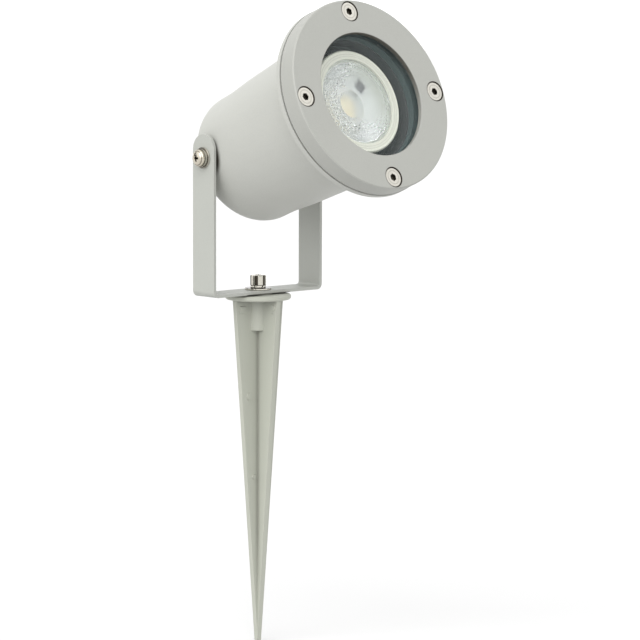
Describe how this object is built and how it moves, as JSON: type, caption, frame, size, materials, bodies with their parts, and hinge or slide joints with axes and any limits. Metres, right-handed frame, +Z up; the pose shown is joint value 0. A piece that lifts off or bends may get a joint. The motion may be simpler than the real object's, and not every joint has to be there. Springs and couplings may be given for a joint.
{
  "type": "garden spike spotlight",
  "caption": "Garden spotlight with a round cast head, screwed front ring and glass, tilting in a U bracket that turns on a cross-ribbed ground spike.",
  "frame": {"origin": "on the spike's axis at the soil line, which is the underside of the spike's flange", "axes": "+Z up along the spike, the head faces -Y and tilts about X"},
  "size_m": [0.0924, 0.1281, 0.3099],
  "materials": {
    "grey_nylon": "moulded grey nylon",
    "bright_steel": "bright zinc or nickel plate",
    "grey_sheet": "fine grey powder coat on sheet steel",
    "grey_casting": "fine grey powder coat on die-cast aluminium",
    "grey_ring": "fine grey powder coat on die-cast aluminium",
    "nickel_screws": "plain nickel-coloured steel",
    "black_rubber": "matt",
    "seal_rubber": "matt",
    "clear_glass": "clear, green at the edge",
    "dark_collar": "dark grey",
    "lamp_white": "cream white",
    "clear_lens": "clear moulded plastic",
    "board_white": "white solder mask",
    "led_yellow": "yellow phosphor",
    "chip_black": "matt black",
    "pin_brass": "nickel-plated",
    "white_ceramic": "unglazed",
    "plain_steel": "zinc plate",
    "plain_brass": "plain",
    "lead_sleeve": "silicone sleeve",
    "terminal_plastic": "natural",
    "gland_nylon": "black nylon"
  },
  "bodies": {
    "spike": {"ground_spike": "grey_nylon", "base_bolt": "bright_steel", "base_flat_washer": "bright_steel", "base_spring_washer": "bright_steel"},
    "bracket": {"u_bracket": "grey_sheet"},
    "head": {"lamp_housing": "grey_casting", "front_bezel": "grey_ring", "bezel_screws": "nickel_screws", "flange_gasket": "black_rubber", "front_glass": "clear_glass", "glass_seal": "seal_rubber", "glare_collar": "dark_collar", "lamp_shell": "lamp_white", "lamp_lens": "clear_lens", "led_board": "board_white", "led_chip": "led_yellow", "board_components": "chip_black", "lamp_pins": "pin_brass", "lampholder": "white_ceramic", "holder_bridge": "plain_steel", "holder_screws": "plain_steel", "bridge_screws": "plain_steel", "holder_leads": "lead_sleeve", "terminal_block": "terminal_plastic", "terminal_screws": "plain_steel", "earth_screw": "plain_brass", "cable_gland": "gland_nylon", "gland_seal": "black_rubber", "gland_nut": "gland_nylon", "pivot_screws": "nickel_screws", "pivot_spring_washers": "bright_steel", "pivot_flat_washers": "bright_steel"}
  },
  "joints": [
    {"name": "bracket_swivel", "type": "hinge", "parent": "spike", "child": "bracket", "pos_m": [0, 0, 0], "axis": [0, 0, 1], "continuous": true},
    {"name": "head_tilt", "type": "hinge", "parent": "bracket", "child": "head", "pos_m": [0, 0, 0.069], "axis": [-1, 0, 0], "range_deg": [-62, 68]}
  ]
}
